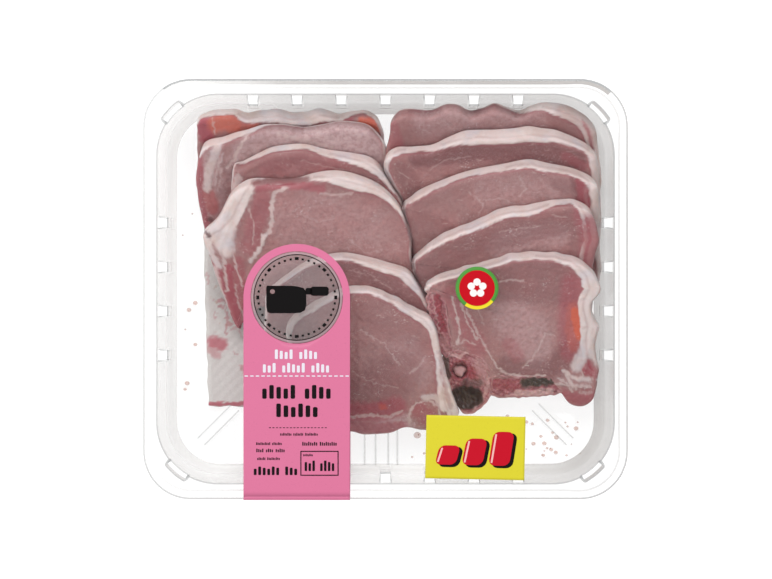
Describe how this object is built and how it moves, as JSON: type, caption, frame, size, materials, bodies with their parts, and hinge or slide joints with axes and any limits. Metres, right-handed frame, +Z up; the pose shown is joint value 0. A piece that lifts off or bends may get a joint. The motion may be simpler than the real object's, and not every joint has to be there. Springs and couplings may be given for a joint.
{
  "type": "meat tray pack",
  "caption": "Clear ribbed tray of shingled raw pork chops on an absorbent pad, sealed with clear film under a wrap-round label and stickers.",
  "frame": {"origin": "centre of the pack's overall box, on the plane it rests on", "axes": "+X to the reader's right along the long side, +Y to the back edge away from the label's fold, +Z up out of the film"},
  "size_m": [0.264, 0.2296, 0.0512],
  "materials": {
    "tray_plastic": "gloss",
    "film": "gloss",
    "lean_meat": "satin",
    "fat": "satin",
    "bone": "satin",
    "marrow": "satin",
    "pad": "matte",
    "label_paper": "satin",
    "yellow_sticker": "satin",
    "red_sticker": "satin"
  },
  "bodies": {
    "root": {"tray_body": "tray_plastic", "tray_rim": "tray_plastic", "lidding_film": "film", "price_label": "label_paper", "label_window": "film", "size_sticker": "yellow_sticker", "round_sticker": "red_sticker", "absorbent_pad": "pad", "chop_right_1_lean": "lean_meat", "chop_right_1_fat": "fat", "chop_right_2_lean": "lean_meat", "chop_right_2_fat": "fat", "chop_right_3_lean": "lean_meat", "chop_right_3_fat": "fat", "chop_right_4_lean": "lean_meat", "chop_right_4_fat": "fat", "chop_right_5_lean": "lean_meat", "chop_right_5_fat": "fat", "chop_left_1_lean": "lean_meat", "chop_left_1_fat": "fat", "chop_left_2_lean": "lean_meat", "chop_left_2_fat": "fat", "chop_left_3_lean": "lean_meat", "chop_left_3_fat": "fat", "chop_left_4_lean": "lean_meat", "chop_left_4_fat": "fat", "chop_left_5_lean": "lean_meat", "chop_left_5_fat": "fat", "chop_left_6_lean": "lean_meat", "chop_left_6_fat": "fat", "feather_bone": "bone", "vertebra": "bone", "spinal_cord": "marrow", "rib_bone": "bone"}
  },
  "joints": []
}
